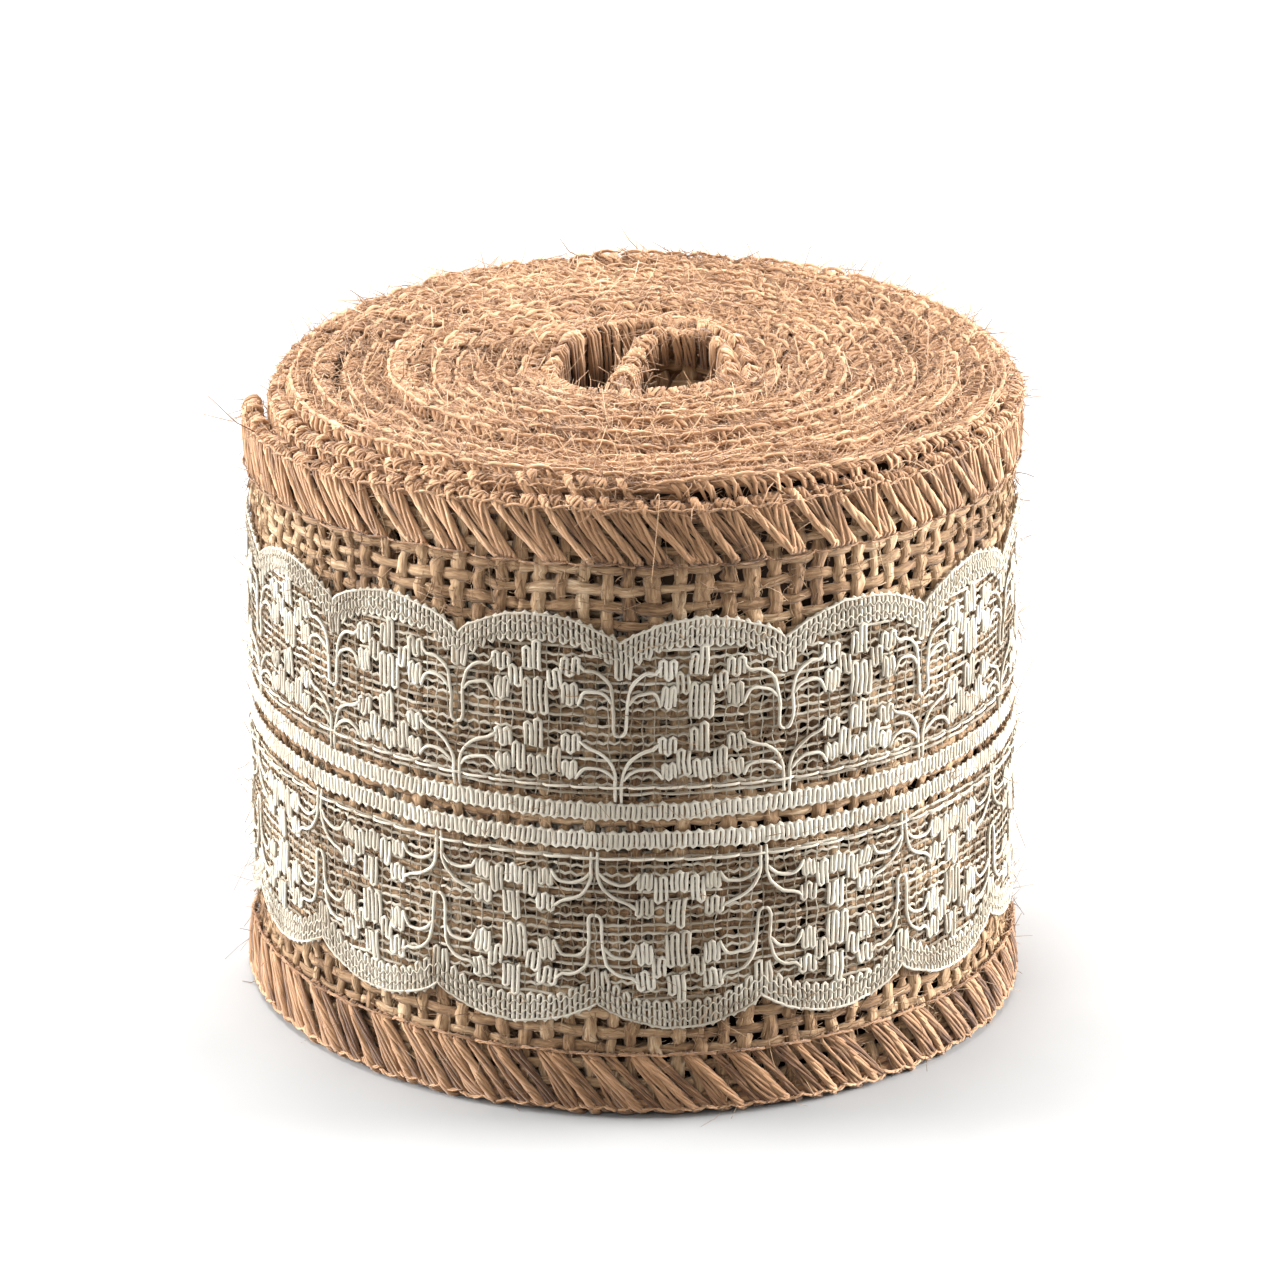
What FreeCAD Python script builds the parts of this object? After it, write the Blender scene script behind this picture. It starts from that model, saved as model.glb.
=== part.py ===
"""A coreless roll of jute burlap ribbon with lace, standing on its lower edge.

The ribbon is wound into a loose roll with nothing inside it.  Both of its long edges are overlocked with
thread, and two lace trims are sewn back to back along its outer face.  The inner end curls once inside the
hole, and the outer end stands a little way off the roll.

The winding axis is +Z and the roll stands on Z = 0, with the middle of its footprint at the origin.  Seen
from above the ribbon runs clockwise from the inner end to the outer one.  Every layer follows one path: the
inner face of the burlap.  A layer is given by its distance out from that path and its height range.
"""

import FreeCAD, Part
import math
import os

SIZES = (
    ("ribbon_width", 60.0),  # the roll's height
    ("cloth_thick", 1.0),
    ("back_thread_thick", 0.3),
    ("face_thread_thick", 0.35),
    ("lace_thick", 0.35),
    ("stitch_thick", 0.25),
    ("edge_band", 5.8),  # how far the overlocking reaches in from each edge
    ("lace_bottom", 8.5),
    ("lace_width", 19.8),
    ("lace_gap", 1.3),  # bare burlap between the two trims
    ("lace_footing", 3.0),  # from a trim's straight edge to the middle of its row of stitches
    ("stitch_band", 0.7),
    ("turn_pitch", 2.1),  # from one turn to the next
    ("core_radius", 8.0),
    ("half_turns", 26),  # whole half turns before the last, unfinished one
    ("curl_radius", 4.0),
    ("curl_sweep", 166.0),
    ("curl_hinge", 90.0),
    ("flap_run", 7.6),  # straight stretch at the inner end
    ("tail_start", 94.0),  # how far into the last half turn the loose tail begins
    ("link_sweep", 28.0),
    ("tail_radius", 39.4),  # the outer two thirds of the tail are straighter than the roll
)

# name, distance out to its inner and outer face, lowest height, height
LAYERS = (
    ("burlap", "0", "cloth_thick", "0", "ribbon_width"),
    ("bottom_edge_face_thread", "cloth_thick", "cloth_thick + face_thread_thick", "0", "edge_band"),
    ("bottom_edge_back_thread", "-back_thread_thick", "0", "0", "edge_band"),
    (
        "top_edge_face_thread",
        "cloth_thick",
        "cloth_thick + face_thread_thick",
        "ribbon_width - edge_band",
        "edge_band",
    ),
    ("top_edge_back_thread", "-back_thread_thick", "0", "ribbon_width - edge_band", "edge_band"),
    ("lower_lace", "cloth_thick", "cloth_thick + lace_thick", "lace_bottom", "lace_width"),
    (
        "lower_lace_stitching",
        "cloth_thick + lace_thick",
        "cloth_thick + lace_thick + stitch_thick",
        "lace_bottom + lace_width - lace_footing - stitch_band / 2",
        "stitch_band",
    ),
    (
        "upper_lace",
        "cloth_thick",
        "cloth_thick + lace_thick",
        "lace_bottom + lace_width + lace_gap",
        "lace_width",
    ),
    (
        "upper_lace_stitching",
        "cloth_thick + lace_thick",
        "cloth_thick + lace_thick + stitch_thick",
        "lace_bottom + lace_width + lace_gap + lace_footing - stitch_band / 2",
        "stitch_band",
    ),
)

doc = FreeCAD.newDocument("ribbon_roll")
sheet = doc.addObject("Spreadsheet::Sheet", "sizes")
for row, (alias, value) in enumerate(SIZES, start=1):
    sheet.set(f"A{row}", alias)
    sheet.set(f"B{row}", str(value))
    sheet.setAlias(f"B{row}", alias)
doc.recompute()


aliases = {alias for alias, _ in SIZES}


def as_cell(word):
    """A size's name as an expression refers to its cell, and any other word as it is."""
    sign = "-" if word.startswith("-") and len(word) > 1 else ""
    bare = word[len(sign):]
    return f"{sign}sizes.{bare}" if bare in aliases else word


def in_sheet(formula):
    """The formula with each size written the way an expression refers to its cell."""
    return " ".join(as_cell(word) for word in formula.split())


def size(formula):
    """The formula's value from the sheet."""
    return float(sheet.evalExpression(in_sheet(formula)))


half_pitch = size("turn_pitch / 2")
core_radius, curl_radius = size("core_radius"), size("curl_radius")
half_turns = int(size("half_turns"))
last_radius = core_radius + half_turns * half_pitch


def direction(angle):
    return FreeCAD.Vector(math.cos(math.radians(angle)), math.sin(math.radians(angle)), 0)


class Stretch:
    """An arc of the path, from one angle clockwise to another about its own centre."""

    def __init__(self, centre, radius, start, end):
        self.centre, self.radius, self.start, self.end = centre, radius, start, end

    def point(self, angle, out):
        return self.centre + direction(angle) * (self.radius + out)

    def edge(self, out):
        """The stretch's own arc, moved outwards by a distance."""
        middle = (self.start + self.end) / 2
        return Part.Arc(
            self.point(self.start, out), self.point(middle, out), self.point(self.end, out)
        ).toShape()

    def part(self, start, end):
        return Stretch(self.centre, self.radius, start, end)


def winding():
    """The half turns, each centred a little to one side, so that they join smoothly."""
    found = []
    for turn in range(half_turns + 1):
        side = half_pitch / 2 * (1 if turn % 2 else -1)
        centre = FreeCAD.Vector(side, 0, 0)
        start = -180.0 * turn
        found.append(Stretch(centre, core_radius + turn * half_pitch, start, start - 180))
    return found


turns = winding()
first, last = turns[0], turns[-1]
curl_centre = first.centre + direction(0) * (core_radius - curl_radius)
curl = Stretch(curl_centre, curl_radius, size("curl_sweep"), 0)
hinge_angles = [last.start - size("tail_start") - step * size("link_sweep") for step in range(3)]
tail_end = hinge_angles[-1] - size("link_sweep")
last.end = hinge_angles[0]
lift = size("tail_radius") - last_radius
tail_centre = last.centre - direction(hinge_angles[1]) * lift
tail = Stretch(tail_centre, size("tail_radius"), hinge_angles[1], tail_end)

# The middle of the footprint, measured to the outermost layer.
outermost = size("cloth_thick + lace_thick + stitch_thick")
right = turns[-2].point(0, outermost).x
left = tail.point(tail_end, outermost).x
back = turns[-2].point(90, outermost).y
front = last.point(-90, outermost).y
AXIS_PLACE = FreeCAD.Vector(-(left + right) / 2, -(front + back) / 2, 0)


def outline(stretches, inner, outer, run=0.0):
    """A flat strip along some stretches, between two distances out, with a straight run before the first."""
    begin, finish = stretches[0], stretches[-1]
    outside = [stretch.edge(outer) for stretch in stretches]
    inside = [stretch.edge(inner) for stretch in reversed(stretches)]
    back_along = direction(begin.start + 90) * run
    near_outer = begin.point(begin.start, outer)
    near_inner = begin.point(begin.start, inner)
    edges = outside + [
        Part.LineSegment(finish.point(finish.end, outer), finish.point(finish.end, inner)).toShape()
    ] + inside
    if run:
        edges += [
            Part.LineSegment(near_inner, near_inner + back_along).toShape(),
            Part.LineSegment(near_inner + back_along, near_outer + back_along).toShape(),
            Part.LineSegment(near_outer + back_along, near_outer).toShape(),
        ]
    else:
        edges.append(Part.LineSegment(near_inner, near_outer).toShape())
    return Part.Face(Part.Wire(Part.__sortEdges__(edges)))


def wound_layer(section, stretches, layer, run=0.0):
    """A layer of a stretch with more than one bend: its outline, raised to its height."""
    name, inner, outer, low, height = layer
    flat = doc.addObject("Part::Feature", f"{section}_{name}_outline")
    flat.Shape = outline(stretches, size(inner), size(outer), run)
    piece = doc.addObject("Part::Extrusion", f"{section}_{name}")
    piece.Base = flat
    piece.Dir = FreeCAD.Vector(0, 0, 1)
    piece.Solid = True
    piece.setExpression("LengthFwd", in_sheet(height))
    piece.Placement = FreeCAD.Placement(AXIS_PLACE, FreeCAD.Rotation())
    piece.setExpression(".Placement.Base.z", in_sheet(low))
    return piece


def drum(name, radius, height, sweep):
    piece = doc.addObject("Part::Cylinder", name)
    piece.setExpression("Radius", in_sheet(radius))
    piece.setExpression("Height", in_sheet(height))
    piece.setExpression("Angle", in_sheet(sweep))
    return piece


def link_layer(section, stretch, path_radius, layer):
    """A layer of one link of the tail: a sector of a cylinder, hollowed by a smaller one."""
    name, inner, outer, low, height = layer
    piece = doc.addObject("Part::Cut", f"{section}_{name}")
    piece.Base = drum(f"{section}_{name}_outside", f"{path_radius} + {outer}", height, "link_sweep")
    piece.Tool = drum(f"{section}_{name}_inside", f"{path_radius} + {inner}", height, "link_sweep")
    turned = FreeCAD.Rotation(FreeCAD.Vector(0, 0, 1), stretch.end)
    piece.Placement = FreeCAD.Placement(AXIS_PLACE + stretch.centre, turned)
    piece.setExpression(".Placement.Base.z", in_sheet(low))
    return piece


hinge_on_curl = size("curl_hinge")
wound_radius = "core_radius + half_turns * turn_pitch / 2"
links = (
    ("tail_root", last.part(hinge_angles[0], hinge_angles[1]), wound_radius),
    ("tail_middle", tail.part(hinge_angles[1], hinge_angles[2]), "tail_radius"),
    ("tail_tip", tail.part(hinge_angles[2], tail_end), "tail_radius"),
)
pieces = []
for layer in LAYERS:
    pieces.append(wound_layer("roll", [curl.part(hinge_on_curl, 0)] + turns, layer))
    flap = [curl.part(curl.start, hinge_on_curl)]
    pieces.append(wound_layer("core_flap", flap, layer, run=size("flap_run")))
    for section, stretch, path_radius in links:
        pieces.append(link_layer(section, stretch, path_radius, layer))
for piece in pieces:
    piece.Label = piece.Name
doc.recompute()

for thing in doc.Objects:
    if {"Invalid", "Error"} & set(thing.State):
        raise RuntimeError(f"{thing.Label} failed: {thing.State}")
for piece in pieces:
    if piece.Shape.isNull() or not piece.Shape.isValid() or len(piece.Shape.Solids) != 1:
        raise RuntimeError(f"{piece.Label} isn't one valid solid")

os.makedirs("parts", exist_ok=True)
for piece in pieces:
    piece.Shape.exportStep(f"parts/{piece.Label}.step")


def length_along(stretches, out):
    return sum((s.radius + out) * math.radians(s.start - s.end) for s in stretches)


middle = size("cloth_thick / 2")
tail_length = length_along([last.part(hinge_angles[0], hinge_angles[1]), tail], middle)
flap_length = length_along([curl.part(curl.start, hinge_on_curl)], middle) + size("flap_run")
roll_length = length_along([curl.part(hinge_on_curl, 0)] + turns, middle)
print(f"ribbon: {roll_length:.0f} mm in the roll, {flap_length:.1f} in the flap, {tail_length:.1f} in the tail")
print(f"winding axis at {AXIS_PLACE.x:.4f}, {AXIS_PLACE.y:.4f}")
for name, stretch, angle in (
    ("tail root", last, hinge_angles[0]),
    ("tail middle", last, hinge_angles[1]),
    ("tail tip", tail, hinge_angles[2]),
    ("core flap", curl, hinge_on_curl),
):
    place = AXIS_PLACE + stretch.point(angle, outermost)
    print(f"{name} hinge at {place.x:.4f}, {place.y:.4f}")
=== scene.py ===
"""The looks of a coreless roll of jute burlap ribbon with two lace trims.

The cloth that shows is made thread by thread.  A thread is first drawn in flat ribbon space, in millimetres:
how far along the ribbon, how high above the lower edge, and how far out from the burlap's inner face.  The
wound path then carries it to its place in the roll.
"""

import math

import bpy
import numpy as np
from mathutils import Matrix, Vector


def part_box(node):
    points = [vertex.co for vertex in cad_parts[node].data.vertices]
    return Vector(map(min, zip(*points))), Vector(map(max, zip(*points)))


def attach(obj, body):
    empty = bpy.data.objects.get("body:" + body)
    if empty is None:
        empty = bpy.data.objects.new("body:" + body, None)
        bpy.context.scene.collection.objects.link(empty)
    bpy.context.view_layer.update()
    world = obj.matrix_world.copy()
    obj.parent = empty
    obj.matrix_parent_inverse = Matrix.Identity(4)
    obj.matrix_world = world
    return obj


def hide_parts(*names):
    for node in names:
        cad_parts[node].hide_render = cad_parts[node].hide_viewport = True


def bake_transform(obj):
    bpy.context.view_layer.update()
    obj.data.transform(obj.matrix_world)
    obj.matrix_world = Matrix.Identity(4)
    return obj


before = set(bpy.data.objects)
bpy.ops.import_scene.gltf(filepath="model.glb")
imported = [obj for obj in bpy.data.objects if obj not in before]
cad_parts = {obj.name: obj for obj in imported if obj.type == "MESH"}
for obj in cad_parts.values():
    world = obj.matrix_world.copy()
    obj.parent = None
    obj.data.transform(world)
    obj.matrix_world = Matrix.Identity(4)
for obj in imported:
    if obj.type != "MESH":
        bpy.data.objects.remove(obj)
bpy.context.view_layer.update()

MM = 0.001

# ---- the wound path -----------------------------------------------------------------------------

WIDTH = 60.0  # of the ribbon, and so the roll's height
CLOTH = 1.0  # thickness of the burlap
HALF_PITCH = 1.05  # how much the roll grows with each half turn
CORE_RADIUS = 8.0
HALF_TURNS = 26
CURL_RADIUS, CURL_SWEEP = 4.0, 166.0
FLAP_RUN = 7.6  # straight stretch at the inner end
LAST_SWEEP = 122.0  # of the unfinished half turn, to where the tail straightens
TAIL_RADIUS, TAIL_SWEEP = 39.4, 56.0

roll_low, roll_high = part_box("roll_burlap")
widest = CORE_RADIUS + (HALF_TURNS - 1) * HALF_PITCH
axis_x = roll_high.x / MM - HALF_PITCH / 2 - widest - CLOTH
axis_y = roll_low.y / MM + widest + HALF_PITCH + CLOTH


class Path:
    """The ribbon's path from its inner end to its outer one: arcs that join smoothly, all clockwise."""

    def __init__(self):
        arcs = [(CORE_RADIUS - CURL_RADIUS - HALF_PITCH / 2, 0, CURL_RADIUS, CURL_SWEEP, CURL_SWEEP)]
        for turn in range(HALF_TURNS + 1):
            side = HALF_PITCH / 2 * (1 if turn % 2 else -1)
            sweep = 180.0 if turn < HALF_TURNS else LAST_SWEEP
            arcs.append((side, 0, CORE_RADIUS + turn * HALF_PITCH, -180.0 * turn, sweep))
        side, _, radius, start, _ = arcs[-1]
        start -= LAST_SWEEP
        lift = TAIL_RADIUS - radius
        tail_x = side - math.cos(math.radians(start)) * lift
        tail_y = -math.sin(math.radians(start)) * lift
        arcs.append((tail_x, tail_y, TAIL_RADIUS, start, TAIL_SWEEP))
        rows = np.array(arcs, float)
        self.centre = rows[:, :2] + (axis_x, axis_y)
        self.radius = rows[:, 2]
        self.start, self.sweep = np.radians(rows[:, 3]), np.radians(rows[:, 4])
        self.begin = np.concatenate([[0.0], np.cumsum((self.radius + CLOTH / 2) * self.sweep)])
        self.length = self.begin[-1]

    def at(self, arc, degrees):
        """How far along the ribbon an angle into an arc is."""
        return self.begin[arc] + (self.radius[arc] + CLOTH / 2) * math.radians(degrees)

    def place(self, flat):
        """Flat ribbon space to the part's own frame, in metres."""
        along, height, out = flat[..., 0], flat[..., 1], flat[..., 2]
        arc = np.clip(np.searchsorted(self.begin, along, side="right") - 1, 0, len(self.radius) - 1)
        angle = self.start[arc] - np.maximum(along - self.begin[arc], 0) / (self.radius[arc] + CLOTH / 2)
        before = np.minimum(along, 0)
        reach = self.radius[arc] + out
        x = self.centre[arc, 0] + reach * np.cos(angle) + before * np.sin(angle)
        y = self.centre[arc, 1] + reach * np.sin(angle) - before * np.cos(angle)
        return np.stack([x, y, height], axis=-1) * MM


path = Path()
LAST_ARC = HALF_TURNS + 1  # the unfinished half turn; arc 0 is the curl
TAIL_ARC = LAST_ARC + 1
inner_end = -FLAP_RUN
curl_hinge = path.at(0, CURL_SWEEP - 90)
flap_to = curl_hinge + 3.6
wall_to = path.at(3, 12)  # the turn that lines the hole
shown_from = path.at(LAST_ARC - 2, 86)  # the roll's outermost turn, with the part that the tail covers
hinges = [path.at(LAST_ARC, 94), path.at(LAST_ARC, 122), path.at(TAIL_ARC, 28)]
root_from = path.at(LAST_ARC, 80)
middle_from = path.at(LAST_ARC, 108)
tip_from = path.at(TAIL_ARC, 14)
outer_end = path.length
front = path.at(LAST_ARC, 90)  # where the outermost turn faces the front
back_seam = path.at(LAST_ARC - 1, 90)


def ripple(seed, span, *spots):
    """Smooth unevenness, mostly between -1 and 1, that changes over about span millimetres."""
    dice = np.random.default_rng(seed)
    total = 0.0
    for _ in range(6):
        pull = dice.normal(size=len(spots)) * 2.2 / span
        total = total + np.sin(sum(p * spot for p, spot in zip(pull, spots)) + dice.uniform(0, 6.28))
    return total / 3.2


def ease(value, low, high):
    share = np.clip((value - low) / (high - low), 0, 1)
    return share * share * (3 - 2 * share)


def settle(flat):
    """The hand-wound roll's unevenness: turns stand a little in or out, high or low."""
    flat = np.array(flat, float)
    along, height = flat[..., 0], flat[..., 1]
    arc = np.clip(np.searchsorted(path.begin, along, side="right") - 1, 0, len(path.radius) - 1)
    angle = path.start[arc] - np.maximum(along - path.begin[arc], 0) / (path.radius[arc] + CLOTH / 2)
    outermost = ease(along, path.at(LAST_ARC - 2, 100), path.at(LAST_ARC - 2, 178))
    inside = 1 - ease(along, path.at(2, 0), path.at(7, 0))
    toward_front = -np.sin(angle)
    lift = (1 - outermost) * (0.75 + 0.4 * ripple(3, 60, along) + 0.9 * np.maximum(toward_front, 0))
    lift = lift - outermost * (0.1 + 0.5 * ease(-np.cos(angle), 0.5, 1.0))
    lift = lift + inside * 1.3 * ease(-toward_front, -0.2, 1.0)
    lift = lift + 0.14 * ripple(4, 11, along) + ease(-toward_front, 0.0, 0.7)
    lift = lift - 1.9 * ease(along, path.at(LAST_ARC, 100), path.length)
    flat[..., 1] = height + lift * ease(height, 36.0, 62.0)
    loose = 0.10 + 0.12 * (1 - outermost)
    flat[..., 2] += loose * ripple(6, 17, along, height * 0.5) + 0.05 * ripple(7, 6, along, height)
    flat[..., 2] += outermost * (0.4 * (1 - ease(height, 0, 8)) - 0.58)
    flat[..., 2] -= 0.25 * ease(along, path.at(LAST_ARC, 100), path.length)
    by_the_end = ease(-np.cos(angle), 0.5, 1.0) * (along < path.at(LAST_ARC, 0))
    flat[..., 2] += 1.0 * by_the_end * ease(along, path.at(LAST_ARC - 8, 90), path.at(LAST_ARC - 3, 90))
    return flat


# ---- threads ------------------------------------------------------------------------------------

OUTWARD = np.array([0.0, 0.0, 1.0])
SIDEWAYS = np.array([1.0, 0.0, 0.0])


def unit(vectors):
    return vectors / np.maximum(np.linalg.norm(vectors, axis=-1, keepdims=True), 1e-9)


def curve(corners, samples):
    """Smooth lines through each row of corners, with that many samples each."""
    corners = np.asarray(corners, float)
    if corners.ndim == 2:
        corners = corners[None]
    spans = corners.shape[1] - 1
    first = 2 * corners[:, :1] - corners[:, 1:2]
    last = 2 * corners[:, -1:] - corners[:, -2:-1]
    padded = np.concatenate([first, corners, last], axis=1)
    spot = np.linspace(0, spans, samples)
    span = np.minimum(spot.astype(int), spans - 1)
    t = (spot - span)[None, :, None]
    a, b, c, d = (padded[:, span + step] for step in range(4))
    return 0.5 * (2 * b + (c - a) * t + (2 * a - 5 * b + 4 * c - d) * t**2 + (3 * b - a - 3 * c + d) * t**3)


def joined(*spots):
    """Rows of corners, from each corner's place along, height and distance out."""
    return np.stack([np.stack(np.broadcast_arrays(*spot), axis=-1) for spot in spots], axis=1)


class Threads:
    """The threads of one piece: closed tubes in flat ribbon space, which become one mesh."""

    def __init__(self, seed):
        self.dice = np.random.default_rng(seed)
        self.rings, self.runs, self.shades = [], [], []

    def add(self, lines, width, depth, sides=5, across=None, taper=1.0, shade=(0.0, 1.0), rough=0.0):
        """Lines are (count, samples, 3).  Width lies in the cloth and depth stands out of it."""
        count, samples = lines.shape[:2]
        if not count:
            return
        heading = unit(np.gradient(lines, axis=1))
        hint = np.cross(OUTWARD, heading) if across is None else np.broadcast_to(across, lines.shape)
        side = unit(hint - heading * np.sum(hint * heading, axis=2, keepdims=True))
        over = np.cross(heading, side)
        ends = np.ones(samples)
        ends[[0, -1]] = taper
        turn = (np.arange(sides) + 0.5) * 2 * math.pi / sides
        lumps = 1 + rough * self.dice.normal(0, 1, (count, samples, sides)) if rough else 1.0
        wide = (np.broadcast_to(width, (count, samples)) * ends / 2)[..., None] * np.cos(turn) * lumps
        deep = (np.broadcast_to(depth, (count, samples)) * ends / 2)[..., None] * np.sin(turn) * lumps
        ring = lines[:, :, None] + side[:, :, None] * wide[..., None] + over[:, :, None] * deep[..., None]
        self.rings.append(ring)
        steps = np.linalg.norm(np.diff(lines, axis=1), axis=2)
        run = np.concatenate([np.zeros((count, 1)), np.cumsum(steps, axis=1)], axis=1)
        self.runs.append(run + self.dice.uniform(0, 90, (count, 1)))
        low, high = shade
        self.shades.append(self.dice.uniform(low, high, count))

    def mesh(self, name):
        """One mesh of all the tubes, each with its own strip of the piece's unwrapped picture."""
        strands = sum(len(ring) for ring in self.rings)
        columns = max(1, math.ceil(math.sqrt(strands / 8)))
        rows = math.ceil(strands / columns)
        vertices, shades, corners, starts, along, strip = [], [], [], [], [], []
        vertex, corner, strand = 0, 0, 0
        for ring, run, shade in zip(self.rings, self.runs, self.shades):
            count, samples, sides = ring.shape[:3]
            flat = settle(ring.reshape(-1, 3))
            flat[:, 1] = np.maximum(flat[:, 1], 0.0)
            vertices.append(path.place(flat))
            shades.append(np.repeat(shade, samples * sides))
            number = vertex + np.arange(count * samples * sides).reshape(count, samples, sides)
            beside = np.roll(number, -1, axis=2)
            quads = np.stack([number[:, :-1], number[:, 1:], beside[:, 1:], beside[:, :-1]], axis=-1)
            caps = np.stack([number[:, 0], number[:, -1, ::-1]], axis=1)
            step = np.arange(samples - 1)[:, None, None] + np.array([0, 1, 1, 0])
            around = np.arange(sides)[None, :, None] + np.array([0, 0, 1, 1])
            step = np.broadcast_to(step, (count, samples - 1, sides, 4))
            around = np.broadcast_to(around, step.shape) / sides
            own = np.arange(count)[:, None, None, None]
            tile = strand + own
            across_strip = (tile % columns + 0.02 + 0.96 * step / (samples - 1)) / columns
            up_strip = (tile // columns + 0.15 + 0.7 * around) / rows
            cap_own = np.broadcast_to(np.arange(count)[:, None, None], caps.shape)
            cap_end = np.broadcast_to(np.array([0, 1])[None, :, None], caps.shape)
            cap_tile = strand + cap_own
            cap_across = (cap_tile % columns + 0.02 + 0.96 * cap_end) / columns
            cap_up = (cap_tile // columns + 0.5) / rows + np.zeros(caps.shape)
            for faces, run_at, turn_at, strip_x, strip_y in (
                (quads, run[own, step], around, across_strip, up_strip),
                (caps, run[cap_own, cap_end * (samples - 1)], np.full(caps.shape, 0.5), cap_across, cap_up),
            ):
                corners.append(faces.ravel())
                size = faces.shape[-1]
                starts.append(corner + np.arange(faces.size // size) * size)
                corner += faces.size
                along.append(np.stack([run_at.ravel(), turn_at.ravel()], axis=1))
                strip.append(np.stack([strip_x.ravel(), strip_y.ravel()], axis=1))
            vertex += number.size
            strand += count
        vertices, corners = np.concatenate(vertices), np.concatenate(corners)
        starts = np.concatenate(starts)
        mesh = bpy.data.meshes.new(name)
        mesh.vertices.add(len(vertices))
        mesh.vertices.foreach_set("co", vertices.ravel())
        mesh.loops.add(len(corners))
        mesh.loops.foreach_set("vertex_index", corners)
        mesh.polygons.add(len(starts))
        mesh.polygons.foreach_set("loop_start", starts)
        mesh.update(calc_edges=True)
        mesh.polygons.foreach_set("use_smooth", np.ones(len(starts), bool))
        for layer, values in (("along", along), ("OFBake", strip)):
            mesh.uv_layers.new(name=layer).data.foreach_set("uv", np.concatenate(values).ravel())
        mesh.attributes.new("shade", "FLOAT", "POINT").data.foreach_set("value", np.concatenate(shades))
        return mesh


# ---- finishes -----------------------------------------------------------------------------------


class Value:
    """A value that changes over the surface.  Arithmetic on it adds Math nodes."""

    def __init__(self, finish, socket):
        self.finish, self.socket = finish, socket

    def maths(self, operation, first, second):
        return self.finish.node("Math", {"operation": operation}, {0: first, 1: second})

    def __add__(self, other):
        return self.maths("ADD", self, other)

    def __sub__(self, other):
        return self.maths("SUBTRACT", self, other)

    def __rsub__(self, other):
        return self.maths("SUBTRACT", other, self)

    def __mul__(self, other):
        return self.maths("MULTIPLY", self, other)

    __radd__, __rmul__ = __add__, __mul__


class Finish:
    """A material and its shader."""

    def __init__(self, name, **fixed):
        self.material = bpy.data.materials.new(name)
        self.material.use_nodes = True
        self.tree = self.material.node_tree
        self.shader = self.tree.nodes["Principled BSDF"]
        for socket, value in fixed.items():
            self.shader.inputs[socket.replace("_", " ")].default_value = value

    def node(self, kind, settings=None, sockets=None, out=0):
        made = self.tree.nodes.new("ShaderNode" + kind)
        for name, value in (settings or {}).items():
            if name == "stops":
                self.set_stops(made.color_ramp, value)
            else:
                setattr(made, name, value)
        for name, value in (sockets or {}).items():
            self.feed(made.inputs[name], value)
        return Value(self, made.outputs[out])

    def set_stops(self, ramp, stops):
        while len(ramp.elements) < len(stops):
            ramp.elements.new(0.5)
        for element, (place, colour) in zip(ramp.elements, stops):
            element.position = place
            element.color = colour

    def feed(self, socket, value):
        if isinstance(value, Value):
            self.tree.links.new(value.socket, socket)
        else:
            socket.default_value = value

    def surface(self, **values):
        for socket, value in values.items():
            self.feed(self.shader.inputs[socket.replace("_", " ")], value)


def shade_of(red, green, blue):
    """A colour given as 0 to 255, as light."""
    return (*[(part / 255 / 12.92) if part < 11 else ((part / 255 + 0.055) / 1.055) ** 2.4
              for part in (red, green, blue)], 1.0)


def spun(name, colours, fibre=14.0, grain=0.35, relief=0.5, roughness=0.8, sheen=0.25, mottle=0.35,
         gloss=0.25):
    """A spun thread: fibres that run along it, lighter and darker strands, and patches of colour."""
    finish = Finish(name, Sheen_Weight=sheen, Sheen_Roughness=0.5, Specular_IOR_Level=gloss)
    run = finish.node("UVMap", {"uv_map": "along"})
    twisted = finish.node("Mapping", {"vector_type": "POINT"},
                          {"Vector": run, "Scale": (0.55, fibre, 1.0), "Rotation": (0, 0, 0.35)})
    fibres = finish.node("TexNoise", {"noise_dimensions": "2D"},
                         {"Vector": twisted, "Scale": 1.0, "Detail": 3.0, "Roughness": 0.6})
    spot = finish.node("TexCoord", out=3)
    patches = finish.node("TexNoise", {}, {"Vector": spot, "Scale": 130.0, "Detail": 2.0})
    strand = finish.node("Attribute", {"attribute_name": "shade"}, out=2)
    tone = fibres * grain + strand * (1 - grain - mottle) + patches * mottle
    places = np.linspace(0.3, 0.72, len(colours))
    ramp = [(place, shade_of(*colour)) for place, colour in zip(places, colours)]
    colour = finish.node("ValToRGB", {"stops": ramp}, {"Fac": tone})
    relief_at = finish.node("Bump", {}, {"Height": fibres, "Strength": relief, "Distance": 0.00012})
    finish.surface(Base_Color=colour, Roughness=roughness + 0.2 * (fibres - 0.5), Normal=relief_at)
    return finish.material


jute = spun("jute yarn", [(64, 43, 26), (133, 102, 72), (173, 142, 108), (220, 198, 168)], grain=0.5,
            sheen=0.1)
jute_fibre = spun("loose jute fibre", [(158, 120, 85), (194, 156, 119), (222, 190, 154)], relief=0.1)
overlock = spun("overlock thread", [(84, 54, 31), (150, 111, 77), (184, 142, 105), (222, 182, 143)],
                fibre=9.0, grain=0.4, relief=0.6)
cotton = spun("cotton lace thread", [(116, 101, 81), (184, 175, 158), (212, 205, 190)], fibre=7.0,
              relief=0.35, sheen=0.15)
sewing = spun("sewing thread", [(168, 156, 134), (196, 186, 168), (214, 206, 190)], fibre=6.0, relief=0.3)
# Painted shade: the wound burlap seen through the weave's holes is coloured near black for the shade deep in
# the roll, not in the jute's own colour.
shade_painted_cloth = spun("burlap in painted shade deep in the roll", [(16, 10, 6), (34, 22, 13), (54, 37, 23)], fibre=5.0, sheen=0.0,
                  gloss=0.05)
# Painted shade: the wound lace is ivory, but it is coloured near black for the shade it lies in between the
# turns.
shade_painted_lace = spun("wound lace in painted shade", [(22, 15, 9), (38, 28, 18), (58, 45, 31)], fibre=5.0,
                 sheen=0.0, gloss=0.05)

# ---- burlap -------------------------------------------------------------------------------------

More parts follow.
